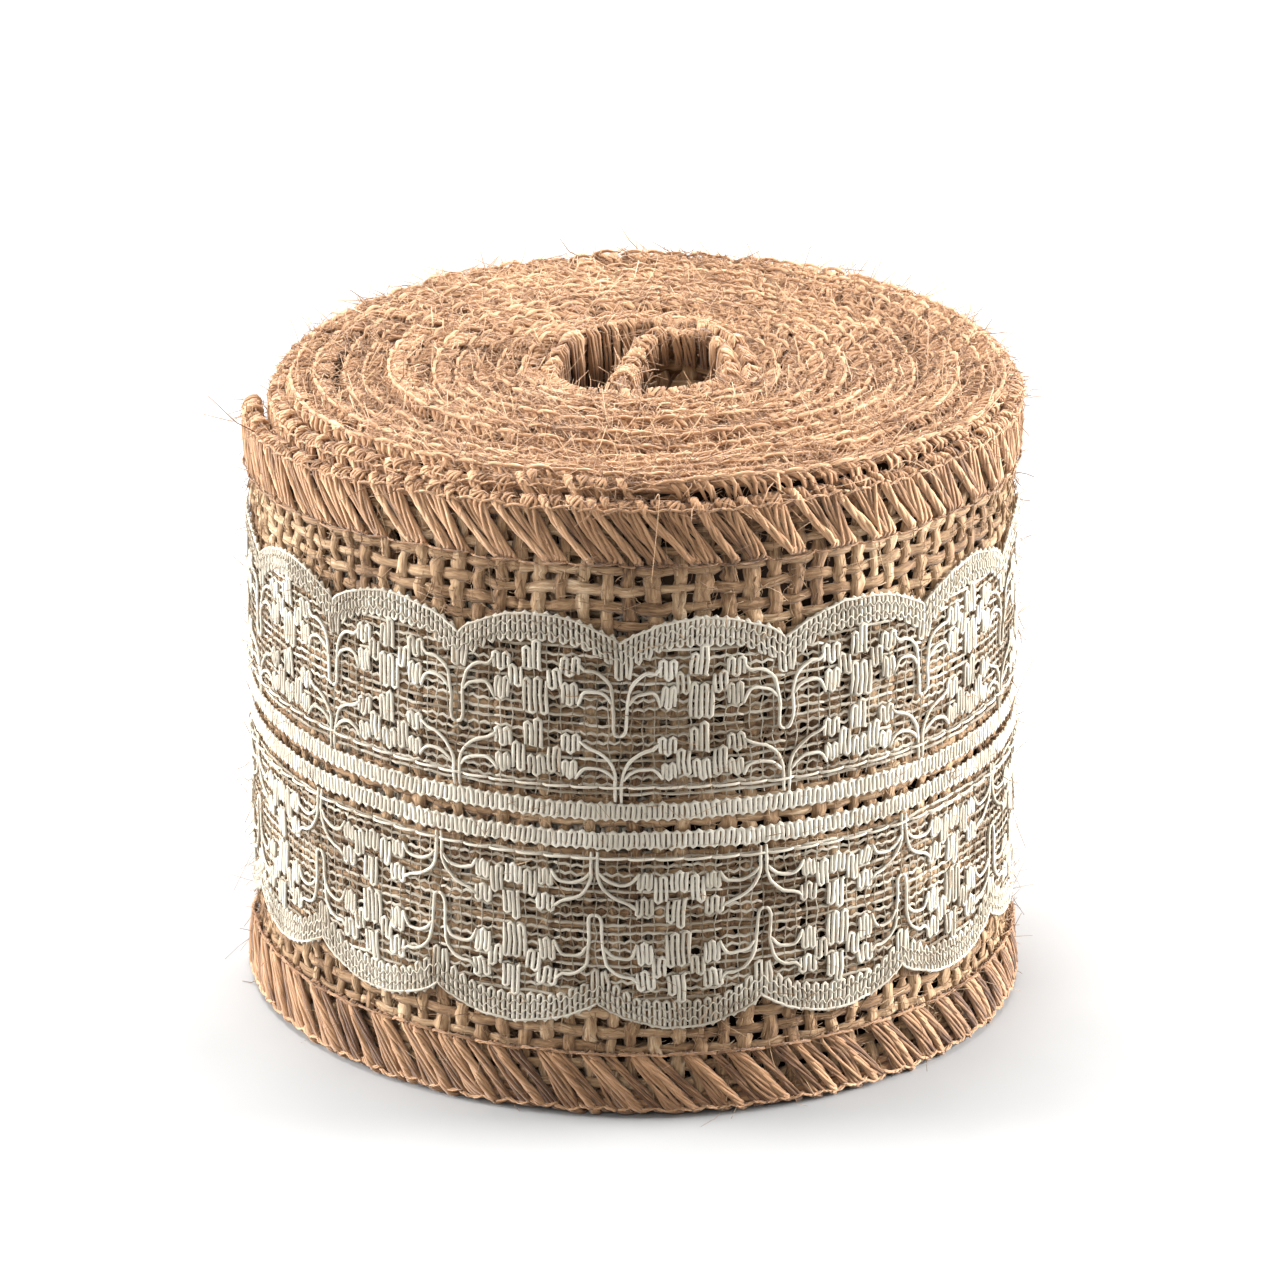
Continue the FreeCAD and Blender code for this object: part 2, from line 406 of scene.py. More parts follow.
WEFT_PITCH, WARP_PITCH = 2.15, 1.75
WARP_ROWS = 34
WARP_LOWEST = 1.1
CRIMP = 0.17
WEAVE_LOW, WEAVE_HIGH = 0.35, 59.5


def weave_shift(lines):
    """Where the yarns' crossings have slipped, the same for both sets of yarn."""
    along, height = lines[..., 0].copy(), lines[..., 1].copy()
    lines[..., 0] += 0.34 * ripple(11, 7, along, height) + 0.16 * ripple(12, 3.4, along, height)
    inside = ease(height, 0, 3) * (1 - ease(height, 57, 60))
    lines[..., 1] += inside * (0.26 * ripple(13, 7, along, height) + 0.12 * ripple(14, 3.2, along, height))
    return lines


def burlap(cloth, begin, end, sides=5, per_crossing=4):
    """A coarse plain weave: upright weft yarns, and warp yarns that run along the ribbon."""
    columns = np.arange(math.ceil(begin / WEFT_PITCH), math.ceil(end / WEFT_PITCH))
    height = np.linspace(WEAVE_LOW, WEAVE_HIGH, WARP_ROWS * per_crossing)
    across, column = np.meshgrid(height, columns)
    over = CRIMP * np.cos(math.pi * ((across - WARP_LOWEST) / WARP_PITCH + column))
    slip = 0.14 * ripple(21, 9, across, column * 37.0)
    weft = weave_shift(np.stack([column * WEFT_PITCH + slip, across, CLOTH / 2 + over], axis=-1))
    body = 1 + 0.22 * ripple(22, 5, across, column * 29.0) + 0.2 * ripple(23, 300, column * 81.0)
    cloth.add(weft, 1.38 * body, 0.5 * np.sqrt(body), sides, rough=0.14)

    steps = max(6, round((end - begin) / WEFT_PITCH * per_crossing))
    run, row = np.meshgrid(np.linspace(begin, end, steps), np.arange(WARP_ROWS))
    over = -CRIMP * np.cos(math.pi * (run / WEFT_PITCH + row))
    slip = 0.1 * ripple(24, 11, run, row * 41.0)
    level = WARP_LOWEST + row * WARP_PITCH + slip
    warp = weave_shift(np.stack([run, level, CLOTH / 2 + over], axis=-1))
    body = 1 + 0.24 * ripple(25, 6, run, row * 23.0) + 0.14 * ripple(26, 300, row * 67.0)
    cloth.add(warp, 1.08 * body, 0.46 * np.sqrt(body), sides, rough=0.14)


BEHIND_ALL = -9.0  # further in than any fibre reaches
ON_FACE = 0.25  # no fibre on the face goes further into the burlap than this, so none comes out behind


def hairs(threads, seed, starts, lean, spread, length, thick=(0.045, 0.08), samples=4, bend=0.55,
          longest=4.5, inmost=BEHIND_ALL):
    """Loose fibres from their starts, roughly along lean, each with its own length and bend."""
    dice = np.random.default_rng(seed)
    count = len(starts)
    heading = unit(np.asarray(lean, float) + dice.normal(0, spread, (count, 3)))
    curl = dice.normal(0, bend, (count, 3))
    reach = np.minimum(dice.gamma(2.0, length / 2, count), longest)[:, None, None]
    t = np.linspace(0, 1, samples)[None, :, None]
    lines = starts[:, None] + reach * (heading[:, None] * t + curl[:, None] * t**2)
    lines[..., 1] = np.maximum(lines[..., 1], 0.1)
    lines[..., 2] = np.maximum(lines[..., 2], inmost)
    width = dice.uniform(*thick, (count, 1)) * np.linspace(1, 0.6, samples)
    threads.add(lines, width, width, sides=3)


def cloth_fuzz(threads, seed, begin, end, density=0.9):
    """Fibres that stand off the face of the burlap between its edges."""
    dice = np.random.default_rng(seed)
    count = round((end - begin) * 40 * density)
    starts = np.stack([dice.uniform(begin, end, count), dice.uniform(1, 59, count),
                       dice.uniform(0.6, 1.1, count)], axis=1)
    heading = dice.normal(0, 1, (count, 3)) * (1, 1, 0)
    hairs(threads, seed + 1, starts, heading + (0, 0, 0.15), 0.15, 1.2, longest=3.0, inmost=ON_FACE)


def clinging_fibres(threads, seed, begin, end, density):
    """Fibres half out of the yarns' twist, which lie along the yarns and blur their edges."""
    dice = np.random.default_rng(seed)
    count = round((end - begin) * WIDTH * density)
    upright = dice.random(count) < 0.5
    column = np.round(dice.uniform(begin, end, count) / WEFT_PITCH) * WEFT_PITCH
    row = WARP_LOWEST + np.round(dice.uniform(0, WARP_ROWS - 1, count)) * WARP_PITCH
    off = dice.normal(0, 0.36, count)
    along = np.where(upright, column + off, dice.uniform(begin, end, count))
    height = np.where(upright, dice.uniform(1, 59, count), row + off)
    starts = weave_shift(np.stack([along, height, dice.uniform(0.75, 1.08, count)], axis=1))
    side = np.where(dice.random(count) < 0.5, -1, 1)
    heading = np.stack([np.where(upright, 0, side), np.where(upright, side, 0), 0 * side], axis=1)
    hairs(threads, seed + 1, starts, heading, 0.2, 1.4, thick=(0.07, 0.14), bend=0.22, longest=3.5,
          inmost=ON_FACE)


# ---- overlocked edges ---------------------------------------------------------------------------

STITCH = 4.6
EDGE_REACH = 5.7  # from the rim down to the needle thread
# Each stitch's strands: place in the stitch, lean, filaments, width, depth, filament size, twists, shade
STRANDS = (
    (0.0, 4.3, 5, 0.56, 0.4, 0.44, 2.2, (0.6, 1.0)),
    (1.7, 3.2, 7, 1.2, 0.24, 0.42, 1.2, (0.1, 0.8)),
    (3.3, 4.1, 4, 0.7, 0.16, 0.4, 1.6, (0.0, 0.55)),
)


def at_edge(lines, top):
    """Overlocking drawn for the upper edge, turned over for the lower one."""
    if top:
        return lines
    flipped = lines.copy()
    flipped[..., 1] = WIDTH + 0.42 - lines[..., 1]
    return flipped


def stitch_places(begin, end, pitch):
    return np.arange(math.ceil(begin / pitch), math.ceil(end / pitch)) * pitch


def rope(threads, corners, samples, top, filaments, wide, deep, thick, twists, shade, sides=4):
    """A strand: filaments twisted round a middle line."""
    middle = curve(corners, samples)
    twist = np.linspace(0, 2 * math.pi * twists, samples)
    start = threads.dice.uniform(0, 6.28, (len(middle), 1))
    for number in range(filaments):
        phase = start + twist + number * 2 * math.pi / filaments
        stray = 1 + 0.25 * threads.dice.normal(0, 1, (len(middle), 1))
        lines = middle.copy()
        lines[..., 0] += wide / 2 * stray * np.cos(phase)
        lines[..., 1] += deep / 3 * stray * np.sin(phase)
        lines[..., 2] += deep / 2 * stray * np.sin(phase)
        threads.add(at_edge(lines, top), thick, thick * 0.85, sides, across=SIDEWAYS, taper=0.6, shade=shade,
                    rough=0.1)


def overlocking(threads, begin, end, top, back_reach=2.8, samples=15):
    """The strands of each stitch, from the needle thread over the rim."""
    places = stitch_places(begin, end, STITCH)
    if not len(places):
        return
    sign = 1 if top else -1
    dice = np.random.default_rng(round(abs(begin)) * 7 + top)
    for lag, lean, filaments, wide, deep, thick, twists, shade in STRANDS:
        rim = places + lag + dice.normal(0, 0.16, len(places))
        rim = rim[(rim > inner_end + 0.4) & (rim < outer_end - 0.4)]
        foot = np.clip(rim - sign * lean + dice.normal(0, 0.4, len(rim)), inner_end + 0.4, outer_end - 0.4)
        rise = dice.normal(0, 0.14, len(rim))
        corners = joined(
            (foot, WIDTH - EDGE_REACH, 0.95),
            (foot * 0.93 + rim * 0.07, WIDTH - EDGE_REACH + 0.5, 1.2),
            (foot * 0.5 + rim * 0.5, WIDTH - 3.0, 1.3),
            (foot * 0.12 + rim * 0.88, WIDTH - 0.85 + rise, 1.3),
            (rim, WIDTH - 0.15 + rise, 1.08),
            (rim + sign * 0.2, WIDTH + 0.1 + rise, 0.5),
            (rim + sign * 0.35, WIDTH - 0.2 + rise, -0.14),
            (rim + sign * 0.7, WIDTH - back_reach, -0.4),
        )
        # Painted shade: the lower edge's strands are coloured darker, as less light falls on the lower band
        # than on the upper one.
        if not top:
            shade = (shade[0] - 0.3, shade[1] - 0.3)
        rope(threads, corners, samples, top, filaments, wide, deep, thick, twists, shade)
    rim_roll(threads, begin, end, top)
    edge_thread(threads, begin, end, top)
    needle_thread(threads, places, top, dice)


def edge_thread(threads, begin, end, top):
    """The looper thread that runs along the rim and knots over each strand."""
    spots = stitch_places(begin, end, STITCH / 2)
    rise = threads.dice.normal(0, 0.08, len(spots))
    corners = joined(
        (spots - 1.35, WIDTH - 0.7 + rise, 1.28),
        (spots - 0.6, WIDTH - 0.4 + rise, 1.46),
        (spots + 0.25, WIDTH - 0.32 + rise, 1.46),
        (spots + 0.9, WIDTH - 0.5 + rise, 1.44),
        (spots + 1.4, WIDTH - 0.7 + rise, 1.28),
    )
    rope(threads, corners, 9, top, 3, 0.18, 0.18, 0.24, 1.0, (0.6, 1.0))


def rim_roll(threads, begin, end, top, cords=((0.28, 0.75), (0.78, 0.8), (0.5, 0.45), (0.5, 1.5))):
    """The burlap's own edge yarns, crowded together under the overlocking."""
    places = stitch_places(begin, end, 3.1)
    for out, level in cords:
        run = places[:, None] + np.linspace(-1.7, 1.7, 4)
        sway = 0.08 * ripple(51, 3, run, 0 * run + level * 40)
        lines = np.stack([run, WIDTH - level + sway, out - sway], axis=-1)
        threads.add(at_edge(lines, top), 0.85, 0.75, 5, rough=0.12, shade=(0.0, 0.45))


def needle_thread(threads, places, top, dice):
    """The straight row of stitches where the strands end."""
    slack = dice.normal(0, 0.07, len(places))
    low = WIDTH - EDGE_REACH
    corners = joined(
        (places - STITCH / 2, low + 0.1, 1.05),
        (places - STITCH / 2 + 0.4, low + 0.05 + slack, 1.34),
        (places, low - 0.1 + slack, 1.48),
        (places + STITCH / 2 - 0.4, low - 0.05 + slack, 1.36),
        (places + STITCH / 2, low + 0.1, 1.1),
    )
    rope(threads, corners, 11, top, 3, 0.16, 0.16, 0.2, 2.5, (0.1, 0.6))


def buried_overlocking(threads, begin, end, top, filaments, samples=6):
    """The same edge where only its rim shows between the turns."""
    places = stitch_places(begin, end, STITCH / 2)
    sign = 1 if top else -1
    dice = np.random.default_rng(91 + top)
    rim = places + dice.normal(0, 0.3, len(places))
    rise = dice.normal(0, 0.1, len(places))
    rim_roll(threads, begin, end, top, cords=((0.25, 0.8), (0.8, 0.75)))
    corners = joined(
        (rim - sign * 1.7, WIDTH - 2.6, 1.2),
        (rim - sign * 0.9, WIDTH - 0.75 + rise, 1.45),
        (rim - sign * 0.2, WIDTH - 0.28 + rise, 1.1),
        (rim + sign * 0.5, WIDTH - 0.2 + rise, 0.45),
        (rim + sign * 1.1, WIDTH - 0.4 + rise, -0.25),
        (rim + sign * 1.5, WIDTH - 2.0, -0.4),
    )
    rope(threads, corners, samples, top, filaments, 1.25, 0.25, 0.5, 0.6, (0.25, 0.95))
    corners = joined(
        (rim - 1.3, WIDTH - 0.15 + rise, 1.05),
        (rim - 0.4, WIDTH + 0.12 + rise, 1.22),
        (rim + 0.4, WIDTH + 0.12 + rise, 1.2),
        (rim + 1.3, WIDTH - 0.15 + rise, 1.05),
    )
    threads.add(at_edge(curve(corners, 6), top), 0.4, 0.36, 4, taper=0.6, shade=(0.7, 1.0), rough=0.15)


def matted_fibres(threads, seed, begin, end, per_mm):
    """Fibres felted flat over the rims, from one turn to the next."""
    dice = np.random.default_rng(seed)
    count = round((end - begin) * per_mm)
    height = WIDTH + dice.uniform(-0.8, 0.32, count)
    starts = np.stack([dice.uniform(begin, end, count), height, dice.uniform(-0.5, 1.5, count)], axis=1)
    lean = dice.normal(0, 1, (count, 3)) * (1.0, 0.12, 0.4)
    hairs(threads, seed + 1, starts, lean, 0.1, 1.3, thick=(0.07, 0.15), samples=3, bend=0.4, longest=2.8)


def rim_fuzz(threads, seed, begin, end, per_mm, top=True):
    """Fibres that stand up off the rim."""
    dice = np.random.default_rng(seed)
    count = round((end - begin) * per_mm)
    height = WIDTH + dice.uniform(-0.8, 0.3, count)
    starts = np.stack([dice.uniform(begin, end, count), height, dice.uniform(-0.3, 1.4, count)], axis=1)
    lean = dice.normal(0, 0.8, (count, 3)) + (0, 0.45, 0)
    starts, lean = at_edge(starts, top), lean * (1, 1 if top else -0.2, 1)
    hairs(threads, seed + 1, starts, lean, 0.2, 0.95, longest=3.0)


def stray_fibres(threads):
    """The few long fibres that hang off the rim."""
    corners = [
        [(-1.2, 60.3, 0.6), (-1.6, 61.2, 1.9), (-1.3, 57.6, 2.7), (-0.9, 53.0, 2.2)],
        [(-24, 60.1, 0.8), (-26, 61.4, 1.8), (-29, 59.0, 2.9), (-30, 56.4, 2.6)],
        [(-47, 60.0, 0.8), (-48, 61.8, 1.7), (-51, 61.4, 2.9), (-53, 59.8, 3.4)],
        [(-72, 60.2, 0.9), (-74, 61.6, 1.8), (-75, 58.9, 2.9), (-74, 54.8, 2.7)],
    ]
    threads.add(curve(np.array(corners) + (front, 0, 0), 14), 0.085, 0.08, 4, taper=0.4, shade=(0.7, 1.0))


# ---- lace ---------------------------------------------------------------------------------------

PERIOD = 15.4  # from one scallop's valley to the next
HALF = PERIOD / 2
LACE_WIDTH = 19.8
STEM_UPPER = front + 1.95
STEM_LOWER = front + 4.15
UPPER_EDGE = 29.6  # each trim's straight edge
LOWER_EDGE = 28.3
COLUMN = PERIOD / 32
FOOTING = 1.5


def scallop(u):
    """The outer edge of the scalloped border, above the straight edge."""
    return 17.0 + 2.6 * abs(math.sin(math.pi * u / PERIOD)) ** 0.8


def border_foot(u):
    """The inner edge of the border: it reaches deeper at each valley."""
    away = min(u % PERIOD, PERIOD - u % PERIOD)
    places = (0, 0.5, 0.7, 1.2, 2.0, 3.0, 4.6, HALF)
    heights = (13.4, 13.6, 14.7, 15.0, 15.4, 16.2, 16.7, 16.9)
    return float(np.interp(away, places, heights))


def zigzag(low, high, u_from, u_to, strokes):
    """A thread that runs up and down in strokes side by side."""
    low = low if callable(low) else (lambda u, level=low: level)
    high = high if callable(high) else (lambda u, level=high: level)
    spots = np.linspace(u_from, u_to, strokes)
    step = spots[1] - spots[0]
    points = []
    for number, u in enumerate(spots):
        begin, finish = (low(u), high(u)) if number % 2 == 0 else (high(u), low(u))
        toward = 1 if finish > begin else -1
        points += [(u, begin + 0.12 * toward), (u, (begin + finish) / 2), (u, finish - 0.12 * toward)]
        if number < strokes - 1:
            points.append((u + step / 2, finish + 0.05 * toward))
    return points


def quarters(low, high):
    """A band of upright strokes over a whole period, in four short threads."""
    return [zigzag(low, high, part * 8 * COLUMN, (part * 8 + 8) * COLUMN, 9) for part in range(4)]


def mirrored(lines, about=0.0):
    return lines + [[(2 * about - u, v) for u, v in line] for line in lines]


STEMS = mirrored([
    [(0.0, 8.05), (0.42, 8.2), (0.62, 8.9), (0.62, 10.4), (0.72, 11.6), (0.95, 12.9), (1.7, 13.8),
     (2.6, 14.2), (3.3, 14.2), (3.9, 14.9)],
    [(0.8, 11.2), (1.3, 11.9), (2.1, 12.25), (3.0, 12.3), (3.5, 11.9), (3.9, 10.9)],
    [(0.28, 1.8), (0.3, 3.2), (0.36, 4.4), (0.75, 5.4), (1.5, 6.2), (2.4, 6.7), (3.2, 6.95), (3.9, 7.5)],
    [(0.45, 3.9), (0.95, 4.5), (1.9, 4.95), (2.9, 5.0), (3.6, 4.7), (4.1, 3.9)],
])
ROW_ONE = [
    zigzag(14.0, 16.1, HALF - 0.95, HALF - 0.45, 2) + zigzag(14.0, 16.8, HALF - 0.05, HALF + 0.45, 2)
    + [(HALF + 0.7, 13.9)],
    zigzag(9.9, 13.1, HALF - 1.0, HALF + 1.0, 5),
] + mirrored([
    zigzag(12.3, 14.2, HALF - 2.3, HALF - 1.25, 3),
    zigzag(10.9, 12.9, HALF - 3.7, HALF - 2.5, 4),
    zigzag(13.7, 15.4, HALF - 3.9, HALF - 2.4, 4),
], about=HALF)
ROW_TWO = [
    zigzag(6.6, 8.8, HALF - 0.95, HALF - 0.45, 2) + zigzag(6.5, 9.3, HALF - 0.05, HALF + 0.45, 2)
    + [(HALF + 0.7, 6.5)],
    zigzag(3.9, 5.7, HALF - 0.65, HALF + 0.65, 4),
] + mirrored([
    zigzag(4.3, 6.8, HALF - 2.1, HALF - 1.15, 3),
    zigzag(4.0, 5.5, HALF - 3.6, HALF - 2.5, 4),
    zigzag(6.4, 8.0, HALF - 3.8, HALF - 2.4, 4),
], about=HALF)


def repeat(line, stem, begin, end):
    """The numbers of the periods in which a line of the pattern falls between two places along."""
    middle = stem - np.mean([u for u, _ in line])
    return np.arange(math.ceil((begin - middle) / PERIOD), math.ceil((end - middle) / PERIOD))


def lace_line(threads, line, upper, begin, end, out, width, depth, per_point=2, sides=5, shade=(0.3, 0.9)):
    """One line of the pattern, in every period between two places along the ribbon."""
    stem = STEM_UPPER if upper else STEM_LOWER
    numbers = repeat(line, stem, begin, end)
    if not len(numbers):
        return
    drawn = curve(np.array(line, float), max(4, (len(line) - 1) * per_point + 1))[0]
    u, v = drawn[:, 0], drawn[:, 1]
    along = stem + numbers[:, None] * PERIOD - u[None, :]
    height = (UPPER_EDGE + v if upper else LOWER_EDGE - v)[None, :] + 0 * along
    lines = np.stack([along, height, np.full(along.shape, out)], axis=-1)
    lines[..., 0] += 0.18 * ripple(31 + upper, 9, along, height) + 0.08 * ripple(33, 1.6, along, height)
    lines[..., 1] += 0.16 * ripple(35 + upper, 11, along, height) + 0.08 * ripple(37, 1.4, along, height)
    lines[..., 2] += 0.05 * ripple(39, 4, along, height)
    threads.add(lines, width, depth, sides, taper=0.7, shade=shade, rough=0.12)


def lace(threads, upper, begin, end):
    """A raschel lace trim: a satin footing, two rows of flowers on stems, and a scalloped border."""
    for line in quarters(0.04, FOOTING):
        lace_line(threads, line, upper, begin, end, 1.2, 0.44, 0.28, per_point=1, shade=(0.6, 1.1))
    for line in quarters(border_foot, scallop):
        lace_line(threads, line, upper, begin, end, 1.2, 0.36, 0.28, per_point=1)
    for part in range(4):
        edge = np.linspace(part * HALF / 2, (part + 1) * HALF / 2, 9)
        lace_line(threads, [(u, scallop(u) - 0.1) for u in edge], upper, begin, end, 1.3, 0.26, 0.2)
        chained = np.linspace(part * HALF / 2, (part + 1) * HALF / 2, 17)
        for depth in (0.9, 1.9):
            sway = 0.22 * np.cos(np.arange(17) * math.pi / 2 + depth)
            heights = [scallop(u) - depth + shift for u, shift in zip(chained, sway)]
            chain = [(u, v) for u, v in zip(chained, heights) if v > border_foot(u)]
            if len(chain) >= 3:
                lace_line(threads, chain, upper, begin, end, 1.35, 0.17, 0.14, sides=4, shade=(0.1, 0.7))
        for level in (0.1, FOOTING - 0.05):
            ends = np.linspace(part * HALF / 2, (part + 1) * HALF / 2, 4)
            lace_line(threads, [(u, level) for u in ends], upper, begin, end, 1.16, 0.22, 0.2)
    for line in STEMS:
        lace_line(threads, line, upper, begin, end, 1.34, 0.35, 0.26, shade=(0.5, 1.0))
    for line in ROW_ONE + ROW_TWO:
        lace_line(threads, line, upper, begin, end, 1.28, 0.4, 0.28, per_point=1, shade=(0.5, 1.0))
    net(threads, upper, begin, end)


def net(threads, upper, begin, end):
    """The ground between the motifs: fine rows that waver along the trim, tied by upright threads."""
    rows = np.arange(2.5, 17.0, 0.82)
    for part in range(4):
        u = np.linspace(part * HALF / 2, (part + 1) * HALF / 2, 8)
        for number, level in enumerate(rows):
            sway = 0.13 * np.sin(u * 2 * math.pi / (PERIOD / 14) + number * 2.4)
            line = [(at, level + shift) for at, shift in zip(u, sway) if level < border_foot(at) + 0.4]
            if len(line) >= 3:
                lace_line(threads, line, upper, begin, end, 1.12, 0.38, 0.16, per_point=1, sides=4,
                          shade=(-0.1, 0.55))
    for u in np.arange(14) * PERIOD / 14:
        heights = np.linspace(2.0, border_foot(u), 11)
        lean = 0.16 * np.sin(heights * 2 * math.pi / 3.1 + u * 5)
        line = list(zip(u + lean, heights))
        lace_line(threads, line, upper, begin, end, 1.14, 0.15, 0.12, per_point=1, sides=4,
                  shade=(-0.3, 0.3))


SEAM_STITCH = 2.6


def lace_stitching(threads, upper, begin, end):
    """The row of machine stitches that holds a trim to the burlap."""
    places = stitch_places(begin, end, SEAM_STITCH)
    level = UPPER_EDGE + 3.2 if upper else LOWER_EDGE - 2.5
    height = level + 0.18 * ripple(41 + upper, 30, places)
    corners = joined(
        (places - 1.34, height, 1.12),
        (places - 0.9, height + 0.03, 1.42),
        (places, height, 1.5),
        (places + 0.9, height - 0.03, 1.42),
        (places + 1.34, height, 1.12),
    )
    threads.add(curve(corners, 9), 0.26, 0.24, 5, taper=0.7, shade=(0.3, 0.8))


# ---- pieces -------------------------------------------------------------------------------------

# A trim is cut along its scallops, so its cut's area is inside that outline, and counts the lace's holes.
SCALLOPED = float(np.mean([scallop(u) for u in np.linspace(0, PERIOD, 400, endpoint=False)])) / LACE_WIDTH


def piece(name, mesh, material):
    mesh.materials.append(material)
    made = bpy.data.objects.new(name, mesh)
    bpy.context.scene.collection.objects.link(made)
    return made


def band(name, low, high, inner, outer, begin, end):
    """A wound strip of cloth as one closed skin, for the turns that other turns hide."""
    runs = np.arange(begin, end, 2.2)
    corners = [(low, inner), (high, inner), (high, outer), (low, outer)]
    flat = np.array([[(run, height, out) for height, out in corners] for run in runs])
    threads = Threads(5)
    threads.rings.append(flat[None, :, ::-1])
    threads.runs.append(runs[None] * 1.0)
    threads.shades.append(np.array([0.5]))
    return threads.mesh(name)


def edge_nodes(body, edge):
    return [f"{body}_{edge}_edge_{side}_thread" for side in ("face", "back")]


def layers(section, body, begin, end):
    """The pieces of one stretch of ribbon, by layer, not yet tied to a body."""
    made = {}
    cloth = Threads(101)
    burlap(cloth, begin, end)
    fuzz = Threads(102)
    cloth_fuzz(fuzz, 301, begin, end)
    rim_fuzz(fuzz, 303, begin, end, 3.0)
    clinging_fibres(fuzz, 305, begin, end, 0.8)
    made["fuzz"] = piece(f"{section}_fuzz", fuzz.mesh(f"{section}_fuzz"), jute)
    made["burlap"] = piece(f"{section}_burlap_yarns", cloth.mesh(f"{section}_burlap"), jute)
    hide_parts(f"{body}_burlap")
    for edge in ("top", "bottom"):
        threads = Threads(111)
        overlocking(threads, begin, end, edge == "top")
        if edge == "top":
            matted_fibres(threads, 307, begin, end, 9.0)
        name = f"{section}_{edge}_overlock"
        made[name] = piece(name, threads.mesh(name), overlock)
        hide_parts(*edge_nodes(body, edge))
    for trim in ("upper", "lower"):
        threads = Threads(121)
        lace(threads, trim == "upper", begin, end)
        name = f"{section}_{trim}_lace_threads"
        made[f"{trim} lace"] = piece(name, threads.mesh(name), cotton)
        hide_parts(f"{body}_{trim}_lace")
        threads = Threads(131)
        lace_stitching(threads, trim == "upper", begin, end)
        name = f"{section}_{trim}_lace_seam"
        made[name] = piece(name, threads.mesh(name), sewing)
        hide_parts(f"{body}_{trim}_lace_stitching")
    return made


def declare(length):
    """Reckons the sizes of the stretch's three sheets of cloth, the burlap and the two trims, and keeps none
    of them.
    """
    length * MM
    for trim in ("upper lace", "lower lace"):
        cut = (LACE_WIDTH * MM, length * MM)
        SCALLOPED * cut[0] * cut[1]


for section, begin, end in (("roll_left", shown_from, back_seam), ("roll_right", back_seam, root_from)):
    stretch = layers(section, "roll", begin, end)
    for made in stretch.values():
        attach(made, "roll")
    declare(end - begin)


def hinge_point(along):
    return Vector(path.place(np.array([along, WIDTH / 2, CLOTH / 2])))


# A tail's bend is set to begin just before its hinge, so that no cloth would swing in towards the roll; here
# the bend's ends are only reckoned, and nothing bends.
TAIL_BEND = (-1.0, 8.0)
FLAP_BEND = (2.4, -2.4)
for section, parent, begin, end, hinge, bend in (
    ("tail_root", "roll", root_from, middle_from, hinges[0], TAIL_BEND),
    ("tail_middle", "tail_root", middle_from, tip_from, hinges[1], TAIL_BEND),
    ("tail_tip", "tail_middle", tip_from, outer_end, hinges[2], TAIL_BEND),
    ("core_flap", "roll", inner_end, flap_to, curl_hinge, FLAP_BEND),
):
    bend_from, bend_to = hinge + bend[0], hinge + bend[1]
    stretch = layers(section, section, begin, end)
    for made in stretch.values():
        hinge_point(bend_from)
        hinge_point(bend_to)
        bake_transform(made)
    declare(end - begin)

# The turn that lines the hole, and the turns between it and the outermost one.
wall = Threads(141)
burlap(wall, flap_to, wall_to, per_crossing=3)
wall_piece = piece("roll_hole_lining_yarns", wall.mesh("roll_hole_lining"), jute)
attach(wall_piece, "roll")
(wall_to - flap_to) * MM
wall_edges = Threads(142)
for top in (True, False):
    overlocking(wall_edges, flap_to, wall_to, top, back_reach=EDGE_REACH)
wall_edge_mesh = wall_edges.mesh("roll_hole_overlock")
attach(piece("roll_hole_lining_overlock", wall_edge_mesh, overlock), "roll")

for edge in ("top", "bottom"):
    rims = Threads(151)
    top = edge == "top"
    buried_overlocking(rims, wall_to, shown_from, top, filaments=4 if top else 3)
    name = f"roll_{edge}_rims"
    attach(piece(name, rims.mesh(name), overlock), "roll")


def fibre_piece(name, threads, material):
    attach(piece(name, threads.mesh(name), material), "roll")


loose = Threads(161)
rim_fuzz(loose, 401, inner_end, shown_from, 3.0)
rim_fuzz(loose, 405, inner_end, shown_from, 0.5, top=False)
matted_fibres(loose, 415, wall_to, shown_from, 2.5)
stray_fibres(loose)
fibre_piece("roll_loose_fibres", loose, jute_fibre)
matted = Threads(162)
matted_fibres(matted, 411, wall_to, shown_from, 10.0)
fibre_piece("roll_matted_fibres", matted, overlock)

TUCK = 4  # how far the wound burlap runs on under the stretches that show
wound_mesh = band("roll_wound_burlap", 0.6, 59.2, 0.22, 0.78, wall_to - TUCK, shown_from + TUCK)
# The wound burlap's near-black colour is painted shade.
wound = piece("roll_wound_burlap", wound_mesh, shade_painted_cloth)
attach(wound, "roll")
(shown_from - wall_to + 2 * TUCK) * MM
wound_length = (shown_from - flap_to) * MM
for trim, low in (("upper", UPPER_EDGE), ("lower", LOWER_EDGE - LACE_WIDTH)):
    name = f"roll_wound_{trim}_lace"
    mesh = band(name, low + 0.2, low + LACE_WIDTH - 0.6, 1.04, 1.26, flap_to, shown_from)
    # The wound lace strip's near-black colour is painted shade.
    strip = piece(name, mesh, shade_painted_lace)
    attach(strip, "roll")

# ---- floor, light and camera --------------------------------------------------------------------

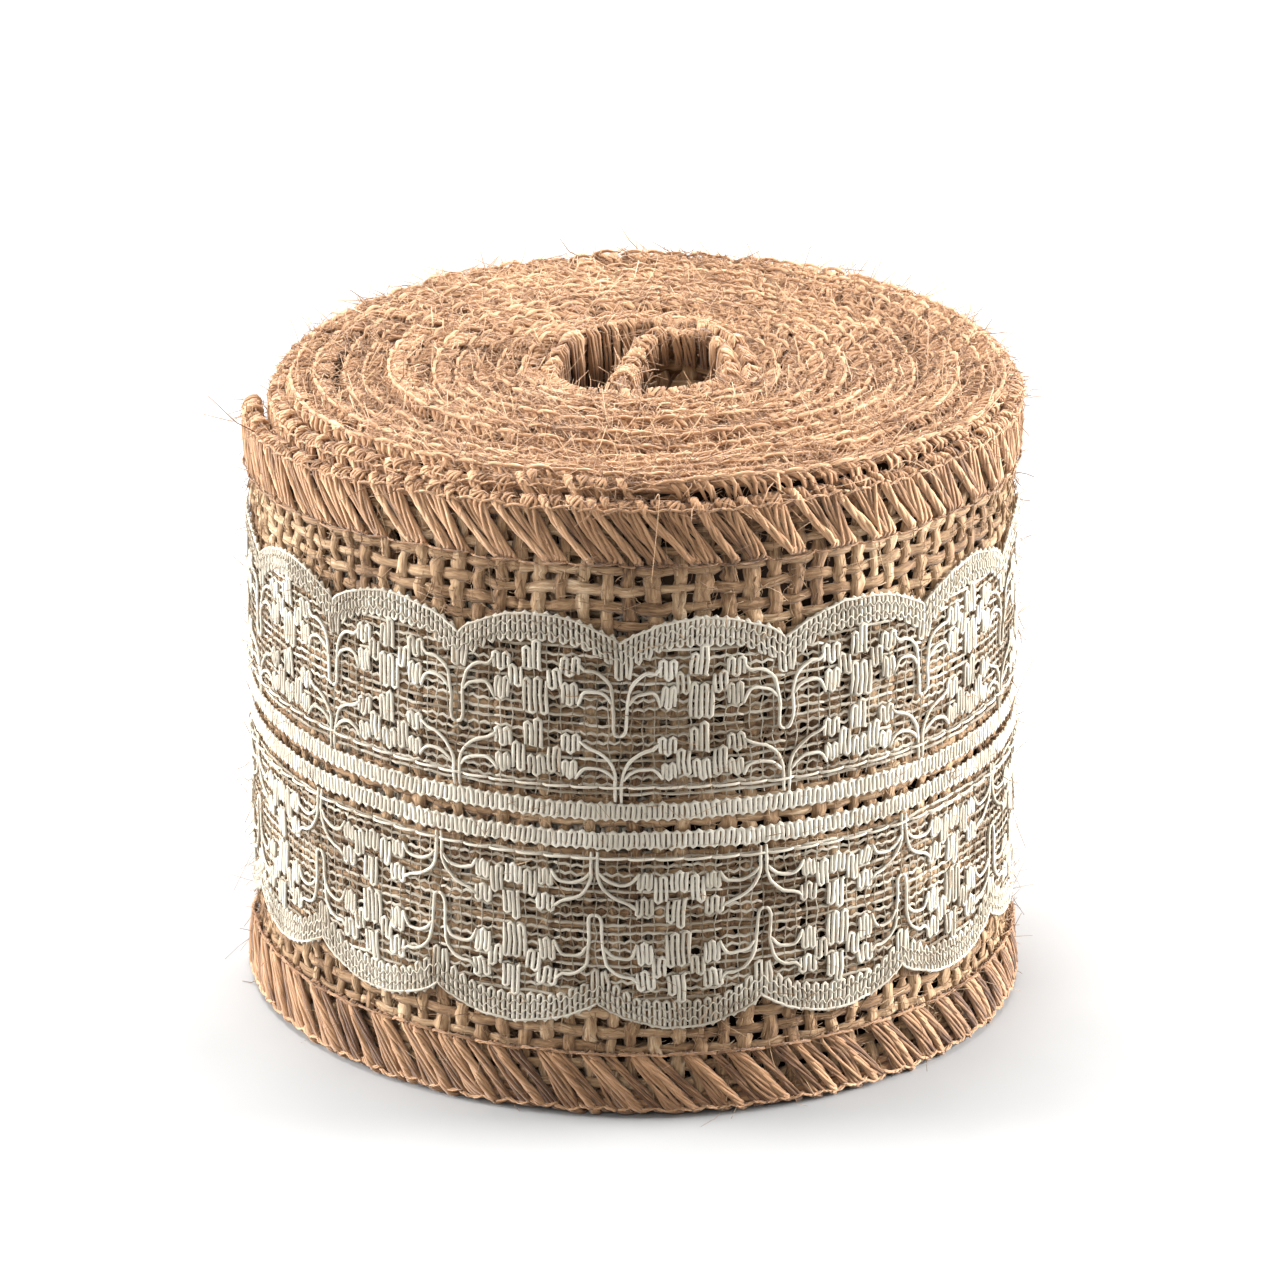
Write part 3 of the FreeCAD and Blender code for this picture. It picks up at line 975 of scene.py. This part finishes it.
floor_mesh = bpy.data.meshes.new("floor")
reach = 4.0
floor_mesh.from_pydata([(-reach, -reach, 0), (reach, -reach, 0), (reach, reach, 0), (-reach, reach, 0)], [],
                       [(0, 1, 2, 3)])
floor = bpy.data.objects.new("floor", floor_mesh)
bpy.context.scene.collection.objects.link(floor)
paper = Finish("white paper", Roughness=0.7, Specular_IOR_Level=0.2)
paper_grain = paper.node("TexNoise", {}, {"Vector": paper.node("TexCoord", out=3), "Scale": 60.0})
paper_white = paper.node("ValToRGB", {"stops": [(0.3, (0.37, 0.37, 0.37, 1)), (0.7, (0.39, 0.39, 0.39, 1))]},
                         {"Fac": paper_grain})
paper.surface(Base_Color=paper_white)
floor_mesh.materials.append(paper.material)

world = bpy.data.worlds.new("studio")
bpy.context.scene.world = world
world.use_nodes = True
world.node_tree.nodes["Background"].inputs["Color"].default_value = (1.0, 1.0, 1.0, 1)
world.node_tree.nodes["Background"].inputs["Strength"].default_value = 0.36


def softbox(name, place, aim, size, power):
    light = bpy.data.lights.new(name, "AREA")
    light.shape, light.size, light.energy = "DISK", size, power
    lamp = bpy.data.objects.new(name, light)
    lamp.location = place
    lamp.rotation_euler = (Vector(aim) - Vector(place)).to_track_quat("-Z", "Y").to_euler()
    bpy.context.scene.collection.objects.link(lamp)


middle = (0, 0, WIDTH / 2 * MM)
softbox("overhead", (-0.1, 0.2, 0.9), middle, 0.7, 15.8)
softbox("left", (-0.8, 0.14, 0.25), middle, 0.5, 19.0)
softbox("right", (0.8, 0.16, 0.25), middle, 0.5, 27.0)
softbox("front", (-0.4, -0.8, 0.6), middle, 0.5, 2.6)

camera = bpy.data.objects.new("camera", bpy.data.cameras.new("camera"))
bpy.context.scene.collection.objects.link(camera)
bpy.context.scene.camera = camera
distance, elevation = 0.6517, math.radians(20.8)
aim = Vector(middle)
camera.location = aim + Vector((0, -math.cos(elevation), math.sin(elevation))) * distance
camera.rotation_euler = (aim - camera.location).to_track_quat("-Z", "Y").to_euler()
camera.data.lens, camera.data.sensor_width = 190.57, 36.0
camera.data.shift_x, camera.data.shift_y = 0.0075, 0.0295
camera.data.clip_start, camera.data.clip_end = 0.01, 20
bpy.context.scene.view_settings.view_transform = "Standard"

bpy.context.view_layer.update()
